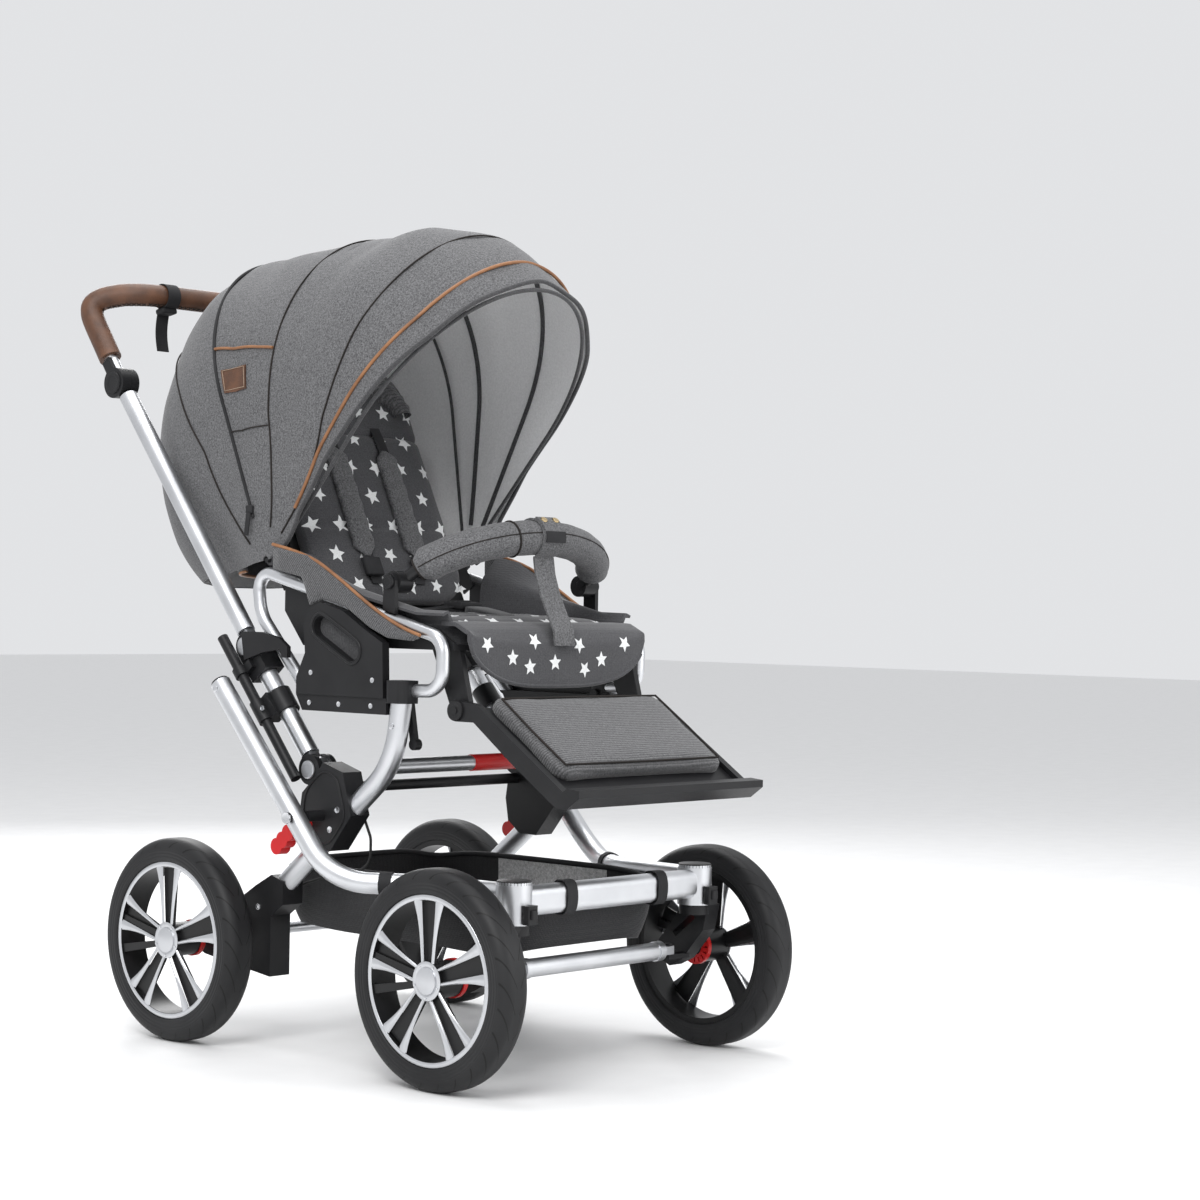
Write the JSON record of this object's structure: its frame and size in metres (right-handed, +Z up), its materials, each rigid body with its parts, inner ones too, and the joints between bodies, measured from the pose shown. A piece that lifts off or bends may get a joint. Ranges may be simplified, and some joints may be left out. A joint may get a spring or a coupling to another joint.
{
  "type": "baby stroller",
  "caption": "Folding baby stroller: cross frame on spoked wheels, sprung reclining seat with footrest, bumper bar, hood, basket and tilting push handle.",
  "frame": {"origin": "on the floor, midway between the four wheels", "axes": "+Z up; the front, with the footrest, faces -Y; +X is the stroller's left side"},
  "size_m": [0.613, 1.05, 1.2115],
  "materials": {
    "tyre_rubber": "matte ribbed rubber",
    "rim_plastic": "satin black moulding",
    "red_plastic": "satin red moulding",
    "black_plastic": "fine-grained black moulding",
    "silver_tube": "satin anodised tube",
    "black_metal": "black powder coat",
    "steel": "zinc plated steel",
    "canopy_cloth": "mid-grey melange weave",
    "seat_cloth": "dark grey liner with pale stars",
    "wing_cloth": "grey diagonal ribbed twill",
    "black_mesh": "black net",
    "webbing": "black webbing and padding",
    "brown_leather": "brown leather with a cross-stitched seam",
    "bumper_cloth": "grey melange sleeve",
    "cable_black": "black sheathed cable"
  },
  "bodies": {
    "front_frame": {"front_legs": "silver_tube", "front_crossbar": "silver_tube", "swivel_housings": "silver_tube", "basket": "black_mesh", "basket_straps": "webbing"},
    "fork_left": {"fork_left": "black_plastic"},
    "fork_right": {"fork_right": "black_plastic"},
    "steering_rod": {"steering_rod": "silver_tube"},
    "latch_left": {"swivel_latch_left": "black_plastic"},
    "latch_right": {"swivel_latch_right": "black_plastic"},
    "rear_frame": {"rear_legs": "silver_tube", "leg_caps": "black_plastic", "hinge_blocks": "black_plastic", "axle_blocks": "black_plastic", "rear_axle": "steel", "mid_crossbar": "silver_tube", "seat_rails": "black_plastic", "spring_tubes": "silver_tube", "side_panels": "black_plastic", "brake_cable": "cable_black", "seat_tub": "black_plastic", "seat_cushion": "seat_cloth", "waist_harness": "webbing", "seat_wings": "wing_cloth", "bumper_mounts": "black_plastic", "canopy_rear": "canopy_cloth"},
    "link": {"link_tubes": "silver_tube", "push_clamps": "black_plastic", "lock_rods": "black_plastic"},
    "push_bar": {"push_tubes": "silver_tube", "handle_joints": "black_plastic"},
    "handle": {"handle_tube": "silver_tube", "handle_hubs": "black_plastic", "handle_grip": "brown_leather", "handle_strap": "webbing"},
    "release_lever_left": {"release_lever_left": "red_plastic"},
    "release_lever_right": {"release_lever_right": "red_plastic"},
    "backrest": {"backrest_board": "black_plastic", "backrest_pad": "seat_cloth", "shoulder_straps": "webbing"},
    "footrest": {"footrest_frame": "black_plastic", "footrest_pad": "wing_cloth"},
    "bumper": {"bumper_bar": "black_metal", "bumper_sleeve": "bumper_cloth"},
    "canopy_front": {"canopy_front": "canopy_cloth", "canopy_front_bow": "steel"},
    "canopy_middle": {"canopy_middle": "canopy_cloth", "canopy_middle_bow": "steel"},
    "wheel_front_left": {"front_left_tyre": "tyre_rubber", "front_left_rim": "rim_plastic", "front_left_brake_ring": "red_plastic"},
    "wheel_front_right": {"front_right_tyre": "tyre_rubber", "front_right_rim": "rim_plastic", "front_right_brake_ring": "red_plastic"},
    "wheel_rear_left": {"rear_left_tyre": "tyre_rubber", "rear_left_rim": "rim_plastic", "rear_left_brake_ring": "red_plastic"},
    "wheel_rear_right": {"rear_right_tyre": "tyre_rubber", "rear_right_rim": "rim_plastic", "rear_right_brake_ring": "red_plastic"}
  },
  "joints": [
    {"name": "chassis_fold", "type": "hinge", "parent": "front_frame", "child": "rear_frame", "pos_m": [0, 0.021, 0.348], "axis": [-1, 0, 0], "range_deg": [0, 50], "deforming": ["basket"]},
    {"name": "link_fold", "type": "hinge", "parent": "rear_frame", "child": "link", "pos_m": [0, 0.05, 0.412], "axis": [-1, 0, 0], "range_deg": [0, 45]},
    {"name": "push_bar_fold", "type": "hinge", "parent": "link", "child": "push_bar", "pos_m": [0, 0.198, 0.586], "axis": [-1, 0, 0], "range_deg": [0, 60]},
    {"name": "handle_tilt", "type": "hinge", "parent": "push_bar", "child": "handle", "pos_m": [0, 0.526, 0.99], "axis": [1, 0, 0], "range_deg": [-75, 10]},
    {"name": "steer_left", "type": "hinge", "parent": "front_frame", "child": "fork_left", "pos_m": [0.19, -0.325, 0.25], "axis": [0, 0, 1], "range_deg": [-10, 10]},
    {"name": "steer_right", "type": "hinge", "parent": "front_frame", "child": "fork_right", "pos_m": [-0.19, -0.325, 0.25], "axis": [0, 0, 1], "range_deg": [-10, 10]},
    {"name": "steering_rod_turn", "type": "hinge", "parent": "fork_left", "child": "steering_rod", "pos_m": [0.166, -0.298, 0.154], "axis": [0, 0, 1], "range_deg": [-12, 12]},
    {"name": "latch_left_slide", "type": "slide", "parent": "front_frame", "child": "latch_left", "axis": [0, 0, 1], "range_m": [0, 0.006]},
    {"name": "latch_right_slide", "type": "slide", "parent": "front_frame", "child": "latch_right", "axis": [0, 0, 1], "range_m": [0, 0.006]},
    {"name": "release_lever_left_turn", "type": "hinge", "parent": "rear_frame", "child": "release_lever_left", "pos_m": [0.24, 0.048, 0.333], "axis": [1, 0, 0], "range_deg": [0, 20], "stiffness_Nm_per_rad": 0.3, "springref_deg": -20.05},
    {"name": "release_lever_right_turn", "type": "hinge", "parent": "rear_frame", "child": "release_lever_right", "pos_m": [-0.24, 0.048, 0.333], "axis": [1, 0, 0], "range_deg": [0, 20], "stiffness_Nm_per_rad": 0.3, "springref_deg": -20.05},
    {"name": "backrest_recline", "type": "hinge", "parent": "rear_frame", "child": "backrest", "pos_m": [0, 0.118, 0.612], "axis": [-1, 0, 0], "range_deg": [0, 25]},
    {"name": "footrest_tilt", "type": "hinge", "parent": "rear_frame", "child": "footrest", "pos_m": [0, -0.212, 0.507], "axis": [1, 0, 0], "range_deg": [-30, 28]},
    {"name": "bumper_swing", "type": "hinge", "parent": "rear_frame", "child": "bumper", "pos_m": [0, -0.092, 0.684], "axis": [1, 0, 0], "range_deg": [0, 50]},
    {"name": "canopy_front_fold", "type": "hinge", "parent": "rear_frame", "child": "canopy_front", "pos_m": [0, 0.175, 0.714], "axis": [-1, 0, 0], "range_deg": [0, 60], "deforming": ["canopy_front"]},
    {"name": "canopy_middle_fold", "type": "hinge", "parent": "rear_frame", "child": "canopy_middle", "pos_m": [0, 0.175, 0.714], "axis": [-1, 0, 0], "range_deg": [0, 30], "deforming": ["canopy_middle"]},
    {"name": "wheel_front_left_spin", "type": "hinge", "parent": "fork_left", "child": "wheel_front_left", "pos_m": [0.2815, -0.276, 0.15], "axis": [1, 0, 0], "continuous": true},
    {"name": "wheel_front_right_spin", "type": "hinge", "parent": "fork_right", "child": "wheel_front_right", "pos_m": [-0.2815, -0.276, 0.15], "axis": [1, 0, 0], "continuous": true},
    {"name": "wheel_rear_left_spin", "type": "hinge", "parent": "rear_frame", "child": "wheel_rear_left", "pos_m": [0.2815, 0.276, 0.15], "axis": [1, 0, 0], "continuous": true},
    {"name": "wheel_rear_right_spin", "type": "hinge", "parent": "rear_frame", "child": "wheel_rear_right", "pos_m": [-0.2815, 0.276, 0.15], "axis": [1, 0, 0], "continuous": true}
  ],
  "couplings": [
    {"joint": "link_fold", "follows": "chassis_fold", "ratio": 0.9},
    {"joint": "push_bar_fold", "follows": "chassis_fold", "ratio": 1.2},
    {"joint": "steer_right", "follows": "steer_left", "ratio": 1},
    {"joint": "steering_rod_turn", "follows": "steer_left", "ratio": -1.1446},
    {"joint": "canopy_middle_fold", "follows": "canopy_front_fold", "ratio": 0.5}
  ]
}
